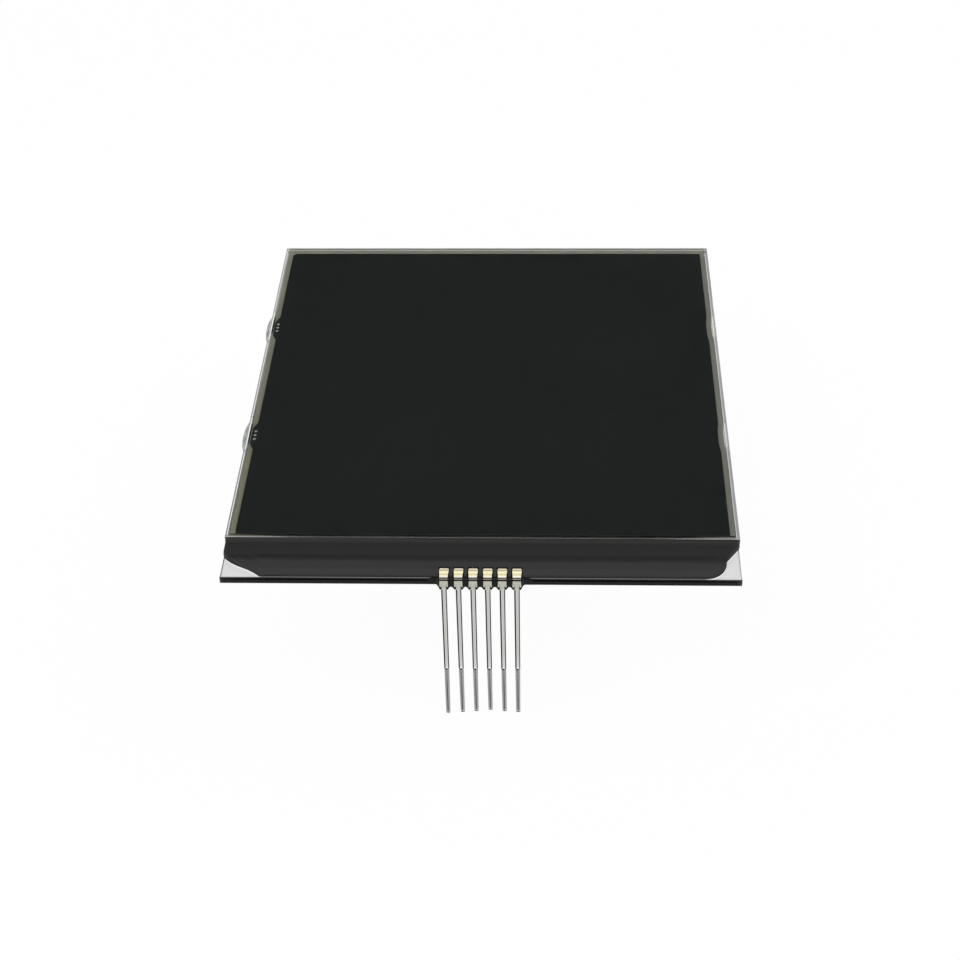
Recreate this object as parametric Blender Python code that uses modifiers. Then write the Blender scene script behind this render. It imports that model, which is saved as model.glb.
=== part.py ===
"""Liquid crystal display panel of an instrument cluster, with its driver on the glass.

Two sheets of glass with a polariser on each outer face hold a seal and the liquid crystal
between them. The rear sheet is longer at the front and carries the driver die under black resin.
Six clip pins grip the ledge's front edge, and their leads run straight down to the circuit board.

Units are metres, +Z is the viewing side, +X is right, and the pins are at -Y.
The origin is the centre of the rear polariser's outer face, on which the panel is seated.
"""

import math

import bmesh
import bpy
from mathutils import Matrix

# Glass sheets
FRONT_GLASS_WIDTH = 0.0717
FRONT_GLASS_LENGTH = 0.0800
REAR_GLASS_INSET = 0.00015
LEDGE_LENGTH = 0.0075
GLASS_THICKNESS = 0.0011
GLASS_CHAMFER = 0.00010

# Films and cell
POLARISER_THICKNESS = 0.00020
POLARISER_MARGIN = 0.00062
POLARISER_NEAR_MARGIN = 0.00042
CELL_GAP = 0.00010
LAMINATION_GAP = 0.00001

# Liquid crystal area, measured in from the front glass's edges
CRYSTAL_SIDE_MARGIN = 0.00125
CRYSTAL_NEAR_MARGIN = 0.00125
CRYSTAL_FAR_MARGIN = 0.00122
CRYSTAL_CORNER_RADIUS = 0.0008
SEAL_MARGIN = 0.00045
SEAL_CORNER_RADIUS = 0.0006

# Filling ports in the left side of the seal, and the shallow dents facing them on the right
PORT_SPACING = 0.0300
PORT_MOUTH = 0.0040
PORT_LIP = 0.00030
PORT_FLANK = 0.00145
PORT_DEPTH = 0.00062
DENT_DEPTH = 0.00020
PILLAR_RADIUS = 0.00022
PILLAR_PITCH = 0.0010
PILLAR_SHIFT = (-0.00008, 0.00022)
PILLARS_PER_PORT = 3
PILLAR_CLEARANCE = 0.00003
PILLAR_FACETS = 16

# Resin plugs over the ports
PLUG_LENGTH = 0.0091
PLUG_SHIFT = 0.00045
PLUG_HEIGHT = 0.0019
PLUG_PROUD = 0.00072
PLUG_SINK = 0.00040
PLUG_CLEARANCE = 0.00002

# Driver die and the film that bonds it
DIE_LENGTH = 0.0160
DIE_WIDTH = 0.0015
DIE_HEIGHT = 0.00050
BOND_THICKNESS = 0.00003
BOND_BORDER = 0.00025
DIE_CLEARANCE = 0.00003

# Clip pins
PIN_COUNT = 6
PIN_PITCH = 0.0020
PIN_ROW_X = 0.00007
SHEET = 0.00020
CLIP_WIDTH = 0.00114
FINGER_WIDTH = 0.00134
FINGER_TIP_WIDTH = 0.00114
GLASS_CLEARANCE = 0.00003
CONTACT_CLEARANCE = 0.00002
FINGER_REACH = 0.00172
LOWER_REACH = 0.00125
TIP_LENGTH = 0.00012
CONTACT_RADIUS = 0.00025
BEND_RADIUS = 0.00013
FINGER_SLOPE = math.radians(4)
LOWER_SLOPE = math.radians(12)
TIP_ANGLE = math.radians(32)
SLIT = 0.00004
LEAD_WIDTH = 0.00077
NECK_WIDTH = 0.00071
LEAD_PROUD = 0.00012
LEAD_INSET = 0.00002
LEAD_LENGTH = 0.0229
LEAD_LAP = 0.00050
LEAD_RAMP = 0.00080
TAIL_LENGTH = 0.0080
TAIL_TAPER = 0.00040
TAIL_WIDTH = 0.00068
END_WIDTH = 0.00060
LEAD_CORNER = 0.00019
SEAM_DEPTH = 0.00007
SEAM_WIDTH = 0.00012
TIP_CHAMFER = 0.00006
DIMPLE_RADIUS = 0.00013
# Each lead was cut and handled by itself: extra length, and how far its end leans sideways
LEAD_EXTRA = (0.00065, 0.00045, 0.00027, 0.00000, 0.00025, 0.00041)
LEAD_LEAN = (-0.00002, 0.00007, 0.00004, 0.00006, 0.00007, 0.00002)

# Black resin on the ledge
RESIN_CLIMB = 0.00105
RESIN_HEIGHT = 0.00074
RESIN_APRON = 0.00026
RESIN_EDGE = 0.00005
RESIN_FILLET = 0.0009
RESIN_ROUND = 0.00035
RESIN_SET_BACK = 0.00020
RESIN_SIDE_SET_BACK = 0.00002
RESIN_LAP_CUT = 0.75
RESIN_CLEARANCE = 0.00002
CLIP_POCKET = 0.00010

# The bare corners of the ledge, which the resin leaves free: how far in they reach along X and
# how far back along Y, and for the left one the power that curves it and the lobe it runs out in
LEFT_CORNER = (0.00545, 0.0044)
LEFT_CORNER_POWER = 0.70
LEFT_CORNER_LOBE = 0.00036
RIGHT_CORNER_OUTER = (0.00187, 0.00286)
RIGHT_CORNER_INNER = (0.00290, 0.00366)

# Resin bead around the clips
BEAD_OVERHANG = 0.0022
BEAD_PROUD = 0.00048
BEAD_RISE = 0.00012
BEAD_DROP = 0.00012
BEAD_SKIRT = 0.00088
BEAD_RAKE = 0.00040
BEAD_TUCK = 0.00050
BEAD_FILM = 0.00008
BEAD_SHOULDER = 0.00055
BEAD_SQUARENESS = 0.5
BEAD_CLEARANCE = 0.00004

# Levels from the seat up
REAR_GLASS_BOTTOM = POLARISER_THICKNESS + LAMINATION_GAP
LEDGE_TOP = REAR_GLASS_BOTTOM + GLASS_THICKNESS
FRONT_GLASS_BOTTOM = LEDGE_TOP + CELL_GAP
FRONT_GLASS_TOP = FRONT_GLASS_BOTTOM + GLASS_THICKNESS
CELL_BOTTOM = LEDGE_TOP + LAMINATION_GAP
CELL_TOP = FRONT_GLASS_BOTTOM - LAMINATION_GAP

# Plan positions
FRONT_EDGE_Y = -FRONT_GLASS_LENGTH / 2
FAR_EDGE_Y = FRONT_GLASS_LENGTH / 2
LEDGE_EDGE_Y = FRONT_EDGE_Y - LEDGE_LENGTH
SIDE_X = FRONT_GLASS_WIDTH / 2
LEDGE_SIDE_X = SIDE_X - REAR_GLASS_INSET
CRYSTAL_X = SIDE_X - CRYSTAL_SIDE_MARGIN
SEAL_X = SIDE_X - SEAL_MARGIN
PORTS_Y = (PORT_SPACING / 2, -PORT_SPACING / 2)
FINGER_END_Y = LEDGE_EDGE_Y + FINGER_REACH + CONTACT_RADIUS + TIP_LENGTH
DIE_Y = (FRONT_EDGE_Y + FINGER_END_Y) / 2


def clear_scene():
    for obj in list(bpy.data.objects):
        bpy.data.objects.remove(obj, do_unlink=True)


def make_collection(name):
    collection = bpy.data.collections.new(name)
    bpy.context.scene.collection.children.link(collection)
    return collection


def make_material(name, colour, roughness, metallic=0.0, transmission=0.0):
    material = bpy.data.materials.new(name)
    material.use_nodes = True
    shader = material.node_tree.nodes["Principled BSDF"]
    shader.inputs["Base Color"].default_value = (*colour, 1.0)
    shader.inputs["Roughness"].default_value = roughness
    shader.inputs["Metallic"].default_value = metallic
    shader.inputs["Transmission Weight"].default_value = transmission
    material.diffuse_color = (*colour, 1.0)
    return material


def add_object(name, mesh, collection, material=None):
    obj = bpy.data.objects.new(name, mesh)
    collection.objects.link(obj)
    if material:
        mesh.materials.append(material)
    return obj


def mesh_from_bmesh(name, bm):
    bmesh.ops.recalc_face_normals(bm, faces=bm.faces)
    mesh = bpy.data.meshes.new(name)
    bm.to_mesh(mesh)
    bm.free()
    return mesh


def box_mesh(name, low, high):
    bm = bmesh.new()
    bmesh.ops.create_cube(bm, size=1.0)
    for vert in bm.verts:
        for axis in range(3):
            share = vert.co[axis] + 0.5
            vert.co[axis] = low[axis] + share * (high[axis] - low[axis])
    return mesh_from_bmesh(name, bm)


def add_box(name, low, high, collection, material=None):
    """A box placed by its centre, so its own origin lies in its middle."""
    centre = [(a + b) / 2 for a, b in zip(low, high)]
    half = [(b - a) / 2 for a, b in zip(low, high)]
    mesh = box_mesh(name, [-h for h in half], half)
    obj = add_object(name, mesh, collection, material)
    obj.location = centre
    return obj


def add_cutter(name, low, high, cutters):
    obj = add_box(name, low, high, cutters)
    return hide_cutter(obj)


def hide_cutter(obj):
    obj.hide_render = True
    obj.display_type = "WIRE"
    return obj


def add_boolean(obj, cutter, operation="DIFFERENCE"):
    modifier = obj.modifiers.new(operation.title() + " " + cutter.name, "BOOLEAN")
    modifier.operation = operation
    modifier.object = cutter
    modifier.solver = "EXACT"
    return modifier


def add_bevel(obj, width, segments=1, angle=math.radians(40)):
    modifier = obj.modifiers.new("Edge", "BEVEL")
    modifier.width = width
    modifier.segments = segments
    modifier.limit_method = "ANGLE"
    modifier.angle_limit = angle
    return modifier


def outline_mesh(name, loops, bottom, top):
    """A flat slab between two levels, filled inside the first loop and outside the others."""
    curve = bpy.data.curves.new(name, "CURVE")
    curve.dimensions = "2D"
    curve.fill_mode = "BOTH"
    curve.extrude = (top - bottom) / 2
    for loop in loops:
        spline = curve.splines.new("POLY")
        spline.points.add(len(loop) - 1)
        for point, (x, y) in zip(spline.points, loop):
            point.co = (x, y, 0.0, 1.0)
        spline.use_cyclic_u = True
    obj = bpy.data.objects.new(name, curve)
    bpy.context.scene.collection.objects.link(obj)
    depsgraph = bpy.context.evaluated_depsgraph_get()
    mesh = bpy.data.meshes.new_from_object(obj.evaluated_get(depsgraph))
    bpy.data.objects.remove(obj, do_unlink=True)
    bpy.data.curves.remove(curve)
    bm = bmesh.new()
    bm.from_mesh(mesh)
    bmesh.ops.remove_doubles(bm, verts=bm.verts, dist=1e-7)
    bmesh.ops.translate(bm, verts=bm.verts, vec=(0.0, 0.0, (top + bottom) / 2))
    bpy.data.meshes.remove(mesh)
    return mesh_from_bmesh(name, bm)


def arc(centre_x, centre_y, radius, start, end, steps):
    points = []
    for i in range(steps + 1):
        angle = start + (end - start) * i / steps
        points.append((centre_x + radius * math.cos(angle), centre_y + radius * math.sin(angle)))
    return points


def rounded_rectangle(low_x, low_y, high_x, high_y, radius, steps=4):
    """Corner arcs in order: top right, top left, bottom left, bottom right."""
    quarter = math.pi / 2
    corners = (
        (high_x - radius, high_y - radius),
        (low_x + radius, high_y - radius),
        (low_x + radius, low_y + radius),
        (high_x - radius, low_y + radius),
    )
    return [
        arc(x, y, radius, i * quarter, (i + 1) * quarter, steps) for i, (x, y) in enumerate(corners)
    ]


def crystal_outline(grow=0.0):
    """The liquid crystal's edge: bumps out at the ports on the left, and dents on the right."""
    top_right, top_left, bottom_left, bottom_right = rounded_rectangle(
        -CRYSTAL_X - grow,
        FRONT_EDGE_Y + CRYSTAL_NEAR_MARGIN - grow,
        CRYSTAL_X + grow,
        FAR_EDGE_Y - CRYSTAL_FAR_MARGIN + grow,
        CRYSTAL_CORNER_RADIUS + grow,
    )
    half_mouth = PORT_MOUTH / 2 + grow
    half_bump = half_mouth + PORT_FLANK
    left = []
    for y in PORTS_Y:
        base = -CRYSTAL_X - grow
        left += [(base, y + half_bump), (base - PORT_DEPTH, y + half_mouth)]
        left += [(base - PORT_DEPTH, y - half_mouth), (base, y - half_bump)]
    right = right_dents(CRYSTAL_X + grow, half_mouth, half_bump)
    return top_right + top_left + left + bottom_left + bottom_right + right


def right_dents(base, half_mouth, half_bump):
    """The shallow dents of a right-hand edge, from the lower one up."""
    points = []
    for y in reversed(PORTS_Y):
        points += [(base, y - half_bump), (base - DENT_DEPTH, y - half_mouth)]
        points += [(base - DENT_DEPTH, y + half_mouth), (base, y + half_bump)]
    return points


def pillar_centres():
    """Pillars stand in a row along the liquid crystal's left edge, inside each port."""
    middle = (PILLARS_PER_PORT - 1) / 2
    return [
        (-CRYSTAL_X + PILLAR_SHIFT[0], y + PILLAR_SHIFT[1] + (middle - i) * PILLAR_PITCH)
        for y in PORTS_Y
        for i in range(PILLARS_PER_PORT)
    ]


def circle(x, y, radius, facets):
    return arc(x, y, radius, 0.0, math.tau * (facets - 1) / facets, facets - 1)


def build_glass(parts, glass):
    rear = add_box(
        "rear_glass",
        (-LEDGE_SIDE_X, LEDGE_EDGE_Y, REAR_GLASS_BOTTOM),
        (LEDGE_SIDE_X, FAR_EDGE_Y, LEDGE_TOP),
        parts,
        glass,
    )
    front = add_box(
        "front_glass",
        (-SIDE_X, FRONT_EDGE_Y, FRONT_GLASS_BOTTOM),
        (SIDE_X, FAR_EDGE_Y, FRONT_GLASS_TOP),
        parts,
        glass,
    )
    for sheet in (rear, front):
        add_bevel(sheet, GLASS_CHAMFER)


def build_polarisers(parts, film):
    half_x = SIDE_X - POLARISER_MARGIN
    far = FAR_EDGE_Y - POLARISER_MARGIN
    front_bottom = FRONT_GLASS_TOP + LAMINATION_GAP
    places = (
        ("rear_polariser", -far, 0.0),
        ("front_polariser", FRONT_EDGE_Y + POLARISER_NEAR_MARGIN, front_bottom),
    )
    for name, near, bottom in places:
        top = bottom + POLARISER_THICKNESS
        add_box(name, (-half_x, near, bottom), (half_x, far, top), parts, film)


def build_crystal(parts, crystal):
    hole = PILLAR_RADIUS + PILLAR_CLEARANCE
    loops = [crystal_outline()]
    loops += [circle(x, y, hole, PILLAR_FACETS) for x, y in pillar_centres()]
    mesh = outline_mesh("liquid_crystal", loops, CELL_BOTTOM, CELL_TOP)
    add_object("liquid_crystal", mesh, parts, crystal)


def build_pillars(parts, seal):
    height = CELL_TOP - CELL_BOTTOM
    bm = bmesh.new()
    bmesh.ops.create_cone(
        bm,
        cap_ends=True,
        segments=PILLAR_FACETS,
        radius1=PILLAR_RADIUS,
        radius2=PILLAR_RADIUS,
        depth=height,
    )
    mesh = mesh_from_bmesh("seal_pillar", bm)
    mesh.materials.append(seal)
    for i, (x, y) in enumerate(pillar_centres(), start=1):
        pillar = add_object(f"seal_pillar_{i}", mesh, parts)
        pillar.location = (x, y, (CELL_TOP + CELL_BOTTOM) / 2)


def seal_ring(name):
    near = FRONT_EDGE_Y + SEAL_MARGIN
    far = FAR_EDGE_Y - SEAL_MARGIN
    corners = rounded_rectangle(-SEAL_X, near, SEAL_X, far, SEAL_CORNER_RADIUS)
    outer = [point for corner in corners for point in corner]
    outer += right_dents(SEAL_X, PORT_MOUTH / 2, PORT_MOUTH / 2 + PORT_FLANK)
    return outline_mesh(name, [outer, crystal_outline(LAMINATION_GAP)], CELL_BOTTOM, CELL_TOP)


def build_seal(parts, cutters, seal):
    """The ring is open at both ports, which leaves a long frame and a short bar between them."""
    outside = -SIDE_X - PLUG_PROUD
    inside = -CRYSTAL_X + CRYSTAL_SIDE_MARGIN
    half_opening = PORT_MOUTH / 2 - PORT_LIP
    gap = (PORT_SPACING / 2 + half_opening, PORT_SPACING / 2 - half_opening)
    opening = add_cutter(
        "port_span", (outside, -gap[0], 0.0), (inside, gap[0], FRONT_GLASS_TOP), cutters
    )
    between = add_cutter(
        "bar_span", (outside, -gap[1], 0.0), (inside, gap[1], FRONT_GLASS_TOP), cutters
    )
    frame = add_object("seal_frame", seal_ring("seal_frame"), parts, seal)
    add_boolean(frame, opening)
    bar = add_object("seal_bar", seal_ring("seal_bar"), parts, seal)
    add_boolean(bar, between, "INTERSECT")


def drop_mesh(name, y, z):
    """An ellipsoid whose centre is sunk in the glass, so the drop meets the edges at a slant."""
    reach = PLUG_PROUD + PLUG_SINK + SIDE_X - LEDGE_SIDE_X
    spread = math.sqrt(1.0 - (PLUG_SINK / reach) ** 2)
    size = (reach, PLUG_LENGTH / 2 / spread, PLUG_HEIGHT / 2 / spread)
    bm = bmesh.new()
    bmesh.ops.create_uvsphere(bm, u_segments=24, v_segments=12, radius=1.0)
    bmesh.ops.scale(bm, verts=bm.verts, vec=size)
    bmesh.ops.translate(bm, verts=bm.verts, vec=(PLUG_SINK - LEDGE_SIDE_X, y, z))
    return mesh_from_bmesh(name, bm)


def build_plugs(parts, cutters, resin):
    """Each plug is a drop of resin on the glass edges with a tongue into the port's mouth.

    The drop has run a little towards the far edge.
    """
    middle = (LEDGE_TOP + FRONT_GLASS_BOTTOM) / 2
    mouth_x = -CRYSTAL_X - PORT_DEPTH - LAMINATION_GAP - PLUG_CLEARANCE
    half_tongue = PORT_MOUTH / 2 - PORT_LIP - PLUG_CLEARANCE
    c = PLUG_CLEARANCE
    front_keep = add_cutter(
        "front_glass_space",
        (-SIDE_X - c, FRONT_EDGE_Y - c, FRONT_GLASS_BOTTOM - LAMINATION_GAP),
        (SIDE_X, FAR_EDGE_Y + c, FRONT_GLASS_TOP + PLUG_HEIGHT),
        cutters,
    )
    rear_keep = add_cutter(
        "rear_glass_space",
        (-LEDGE_SIDE_X - c, LEDGE_EDGE_Y - c, REAR_GLASS_BOTTOM - PLUG_HEIGHT),
        (LEDGE_SIDE_X, FAR_EDGE_Y + c, LEDGE_TOP + LAMINATION_GAP),
        cutters,
    )
    for i, y in enumerate(PORTS_Y, start=1):
        mesh = drop_mesh(f"port_plug_{i}", y + PLUG_SHIFT, middle)
        plug = add_object(f"port_plug_{i}", mesh, parts, resin)
        tongue = add_cutter(
            f"port_tongue_{i}",
            (-SIDE_X - PLUG_PROUD / 2, y - half_tongue, CELL_BOTTOM),
            (mouth_x, y + half_tongue, CELL_TOP),
            cutters,
        )
        inner = add_cutter(
            f"port_inner_{i}",
            (-SEAL_X, y - PLUG_LENGTH, CELL_BOTTOM - c),
            (-SEAL_X + PLUG_LENGTH, y + PLUG_LENGTH, CELL_TOP + c),
            cutters,
        )
        add_boolean(plug, front_keep)
        add_boolean(plug, rear_keep)
        add_boolean(plug, inner)
        add_boolean(plug, tongue, "UNION")


def build_driver(parts, cutters, silicon, film):
    """The die lies face down on a thin bonding film. Returns the space that both take up."""
    film_bottom = LEDGE_TOP + LAMINATION_GAP
    die_bottom = film_bottom + BOND_THICKNESS + LAMINATION_GAP
    half_x, half_y = DIE_LENGTH / 2, DIE_WIDTH / 2
    die = add_box(
        "driver_die",
        (PIN_ROW_X - half_x, DIE_Y - half_y, die_bottom),
        (PIN_ROW_X + half_x, DIE_Y + half_y, die_bottom + DIE_HEIGHT),
        parts,
        silicon,
    )
    add_bevel(die, BOND_THICKNESS / 2)
    half_x, half_y = half_x + BOND_BORDER, half_y + BOND_BORDER
    add_box(
        "bond_film",
        (PIN_ROW_X - half_x, DIE_Y - half_y, film_bottom),
        (PIN_ROW_X + half_x, DIE_Y + half_y, film_bottom + BOND_THICKNESS),
        parts,
        film,
    )
    half_x, half_y = half_x + DIE_CLEARANCE, half_y + DIE_CLEARANCE
    return add_cutter(
        "driver_space",
        (PIN_ROW_X - half_x, DIE_Y - half_y, REAR_GLASS_BOTTOM),
        (PIN_ROW_X + half_x, DIE_Y + half_y, die_bottom + DIE_HEIGHT + DIE_CLEARANCE),
        cutters,
    )


def finger_path(reach, slope):
    """The side of the sheet that faces the glass, from the finger's turned up tip to the plate.

    Distances run in from the glass's edge and up from its face. Returns (in, up, part) points,
    where part is 0 at the tip, 1 where the finger touches and 2 at the bend.
    """
    touch_up = CONTACT_CLEARANCE + CONTACT_RADIUS
    points = []
    end_in = reach + CONTACT_RADIUS * math.sin(TIP_ANGLE)
    end_up = touch_up - CONTACT_RADIUS * math.cos(TIP_ANGLE)
    tip_in = end_in + TIP_LENGTH * math.cos(TIP_ANGLE)
    tip_up = end_up + TIP_LENGTH * math.sin(TIP_ANGLE)
    points.append((tip_in, tip_up, 0.0))
    steps = 4
    for i in range(steps + 1):
        angle = TIP_ANGLE + (-slope - TIP_ANGLE) * i / steps
        run = reach + CONTACT_RADIUS * math.sin(angle)
        rise = touch_up - CONTACT_RADIUS * math.cos(angle)
        points.append((run, rise, i / steps))
    run, rise, _ = points[-1]
    bend_in = BEND_RADIUS - GLASS_CLEARANCE
    start_in = bend_in + BEND_RADIUS * math.sin(slope)
    start_up = rise + (run - start_in) * math.tan(slope)
    bend_up = start_up - BEND_RADIUS * math.cos(slope)
    steps = 5
    for i in range(steps + 1):
        angle = slope + (-math.pi / 2 - slope) * i / steps
        run = bend_in + BEND_RADIUS * math.sin(angle)
        rise = bend_up + BEND_RADIUS * math.cos(angle)
        points.append((run, rise, 2.0))
    return points


def finger_half_width(part):
    """Half the upper finger's width at a part of its path."""
    if part <= 1.0:
        return (FINGER_TIP_WIDTH + (FINGER_WIDTH - FINGER_TIP_WIDTH) * part) / 2
    return CLIP_WIDTH / 2


def clip_sheet(name):
    """The folded sheet: one wide finger above the ledge, the plate, two narrow fingers below."""
    slit = LEAD_WIDTH / 2 + SLIT
    bm = bmesh.new()

    def add_row(y, z, columns):
        return [bm.verts.new((x, y, z)) for x in columns]

    rows = []
    for run, rise, part in finger_path(FINGER_REACH, FINGER_SLOPE):
        half = finger_half_width(part)
        share = half / (CLIP_WIDTH / 2)
        columns = (-half, -slit * share, slit * share, half)
        rows.append(add_row(LEDGE_EDGE_Y + run, LEDGE_TOP + rise, columns))
    lower = finger_path(LOWER_REACH, LOWER_SLOPE)
    lower.reverse()
    half = CLIP_WIDTH / 2
    columns = (-half, -slit, slit, half)
    run, rise, _ = lower[0]
    split = add_row(LEDGE_EDGE_Y + run, REAR_GLASS_BOTTOM - rise, columns)
    rows.append(split)
    for above, below in zip(rows, rows[1:]):
        for i in range(len(columns) - 1):
            bm.faces.new((above[i], above[i + 1], below[i + 1], below[i]))
    for first, second in ((0, 1), (2, 3)):
        above = [split[first], split[second]]
        for run, rise, _ in lower[1:]:
            y, z = LEDGE_EDGE_Y + run, REAR_GLASS_BOTTOM - rise
            below = add_row(y, z, (columns[first], columns[second]))
            bm.faces.new((above[0], above[1], below[1], below[0]))
            above = below
    bmesh.ops.recalc_face_normals(bm, faces=bm.faces)
    plate_face = max(bm.faces, key=lambda face: abs(face.normal.y) * face.calc_area())
    if plate_face.normal.y > 0:
        bmesh.ops.reverse_faces(bm, faces=bm.faces)
    mesh = bpy.data.meshes.new(name)
    bm.to_mesh(mesh)
    bm.free()
    return mesh


def lead_section(width, back, front, corner, seam):
    """One cross-section of a lead, seen from above, with a seam pressed into its front."""
    half = width / 2
    seam_half = SEAM_WIDTH / 2
    quarter = math.pi / 2
    points = [(-half, back), (half, back)]
    points += arc(half - corner, front + corner, corner, 0.0, -quarter, 3)
    points += [(seam_half, front), (0.0, front + seam), (-seam_half, front)]
    points += arc(corner - half, front + corner, corner, -quarter, -2 * quarter, 3)
    return points


def lead_mesh(name, extra, lean):
    """A loft from the plate to the cut end. Below the dimple the lead is narrower and seamed."""
    plate_back = LEDGE_EDGE_Y - GLASS_CLEARANCE
    back = plate_back - LEAD_INSET
    flush = plate_back - SHEET + LEAD_INSET
    proud = plate_back - SHEET - LEAD_PROUD
    root = REAR_GLASS_BOTTOM
    end = root - LEAD_LENGTH - extra
    dimple = root - (LEAD_LENGTH - TAIL_LENGTH)
    tail = dimple - TAIL_TAPER
    shrunk = SHEET / 4
    middle = (LEAD_WIDTH + NECK_WIDTH) / 2
    low = (TAIL_WIDTH + END_WIDTH) / 2
    stations = [
        (root + LEAD_LAP, LEAD_WIDTH - 2 * LEAD_INSET, flush, LEAD_INSET, 0.0),
        (root + LEAD_LAP - LEAD_RAMP, LEAD_WIDTH, proud, LEAD_CORNER, 0.0),
        ((root + dimple) / 2, middle, proud, LEAD_CORNER, 0.0),
        (dimple, NECK_WIDTH, proud, LEAD_CORNER, 0.0),
        (tail, TAIL_WIDTH, proud + LEAD_INSET, LEAD_CORNER, 0.0),
        ((tail + end) / 2, low, proud + LEAD_INSET, LEAD_CORNER, SEAM_DEPTH),
        (end + TIP_CHAMFER, END_WIDTH, proud + LEAD_INSET, LEAD_CORNER, SEAM_DEPTH),
        (end, END_WIDTH - shrunk, proud + LEAD_INSET + shrunk, LEAD_CORNER, SEAM_DEPTH / 2),
    ]
    bm = bmesh.new()
    rings = []
    for z, width, front, corner, seam in stations:
        share = min(1.0, max(0.0, (root - z) / LEAD_LENGTH))
        shift = lean * share * share
        section = lead_section(width, back, front, corner, seam)
        rings.append([bm.verts.new((x + shift, y, z)) for x, y in section])
    for above, below in zip(rings, rings[1:]):
        count = len(above)
        for i in range(count):
            j = (i + 1) % count
            bm.faces.new((above[i], above[j], below[j], below[i]))
    bm.faces.new(rings[0])
    bm.faces.new(reversed(rings[-1]))
    return mesh_from_bmesh(name, bm)


def dimple_mesh():
    """A ball standing a little in front of the lead, between its full width and its tail."""
    proud = LEDGE_EDGE_Y - GLASS_CLEARANCE - SHEET - LEAD_PROUD
    z = REAR_GLASS_BOTTOM - (LEAD_LENGTH - TAIL_LENGTH) - TAIL_TAPER / 2
    bm = bmesh.new()
    bmesh.ops.create_uvsphere(bm, u_segments=10, v_segments=6, radius=DIMPLE_RADIUS)
    turn = Matrix.Rotation(math.pi / 2, 3, "X")
    bmesh.ops.rotate(bm, verts=bm.verts, cent=(0.0, 0.0, 0.0), matrix=turn)
    bmesh.ops.translate(bm, verts=bm.verts, vec=(0.0, proud - DIMPLE_RADIUS / 5, z))
    return mesh_from_bmesh("dimple", bm)


def pin_positions():
    middle = (PIN_COUNT - 1) / 2
    return [PIN_ROW_X + (i - middle) * PIN_PITCH for i in range(PIN_COUNT)]


def build_pins(parts, cutters, tin):
    sheet = clip_sheet("clip_sheet")
    dimple = dimple_mesh()
    sheet.materials.append(tin)
    for i, x in enumerate(pin_positions()):
        number = i + 1
        pin = add_object(f"clip_pin_{number}", sheet, parts)
        pin.location = (x, 0.0, 0.0)
        solidify = pin.modifiers.new("Sheet", "SOLIDIFY")
        solidify.thickness = SHEET
        solidify.offset = 1.0
        solidify.use_even_offset = True
        extra = LEAD_EXTRA[i % len(LEAD_EXTRA)]
        lean = LEAD_LEAN[i % len(LEAD_LEAN)]
        lead = add_object(f"lead_{number}", lead_mesh(f"lead_{number}", extra, lean), cutters)
        pit = add_object(f"dimple_{number}", dimple, cutters)
        for helper in (lead, pit):
            helper.location = (x, 0.0, 0.0)
            hide_cutter(helper)
        add_boolean(pin, lead, "UNION")
        add_boolean(pin, pit)


def smooth(share):
    share = min(1.0, max(0.0, share))
    return share * share * (3 - 2 * share)


def resin_side():
    """The resin ends short of the front glass's side, and laps a little over the rear one's."""
    return SIDE_X - RESIN_SIDE_SET_BACK


def resin_front(x):
    """How far forward the resin reaches at x, as a Y coordinate on the ledge."""
    edge = LEDGE_EDGE_Y + RESIN_SET_BACK
    back = FRONT_EDGE_Y - RESIN_CLEARANCE
    reach_x, reach_y = LEFT_CORNER
    outer_x, outer_y = RIGHT_CORNER_OUTER
    inner_x, inner_y = RIGHT_CORNER_INNER
    left = min(1.0, max(0.0, (x + LEDGE_SIDE_X) / reach_x))
    bulge = reach_y * (1.0 - left ** LEFT_CORNER_POWER)
    front = edge + bulge + LEFT_CORNER_LOBE * math.sin(math.pi * left * left)
    from_right = max(0.0, LEDGE_SIDE_X - x)
    if from_right < outer_x:
        front = edge + inner_y + outer_y * (1.0 - from_right / outer_x)
    elif from_right < outer_x + inner_x:
        inner = (from_right - outer_x) / inner_x
        front = edge + inner_y * (1.0 - math.sqrt(1.0 - (1.0 - inner) ** 2))
    lap = max(0.0, abs(x) - LEDGE_SIDE_X) / (resin_side() - LEDGE_SIDE_X)
    return front + (back - front) * RESIN_LAP_CUT * lap


def resin_stations():
    """X coordinates of the resin's sections, close together where its front edge curves."""
    left_end = -LEDGE_SIDE_X + LEFT_CORNER[0]
    right_outer = LEDGE_SIDE_X - RIGHT_CORNER_OUTER[0]
    right_inner = right_outer - RIGHT_CORNER_INNER[0]
    side = resin_side()
    rounded = side - RESIN_ROUND
    ends = [side, (side + LEDGE_SIDE_X) / 2, LEDGE_SIDE_X, (LEDGE_SIDE_X + rounded) / 2, rounded]
    stations = [-x for x in ends]
    spans = ((-rounded, left_end, 11), (left_end, right_inner, 12))
    for start, end, steps in spans:
        stations += [start + (end - start) * i / steps for i in range(1, steps + 1)]
    steps = 9
    stations += [
        right_outer - RIGHT_CORNER_INNER[0] * (1 - i / steps) ** 2 for i in range(1, steps + 1)
    ]
    stations += [right_outer + (rounded - right_outer) * i / 4 for i in range(1, 5)]
    stations += reversed(ends[:-1])
    return stations


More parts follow.
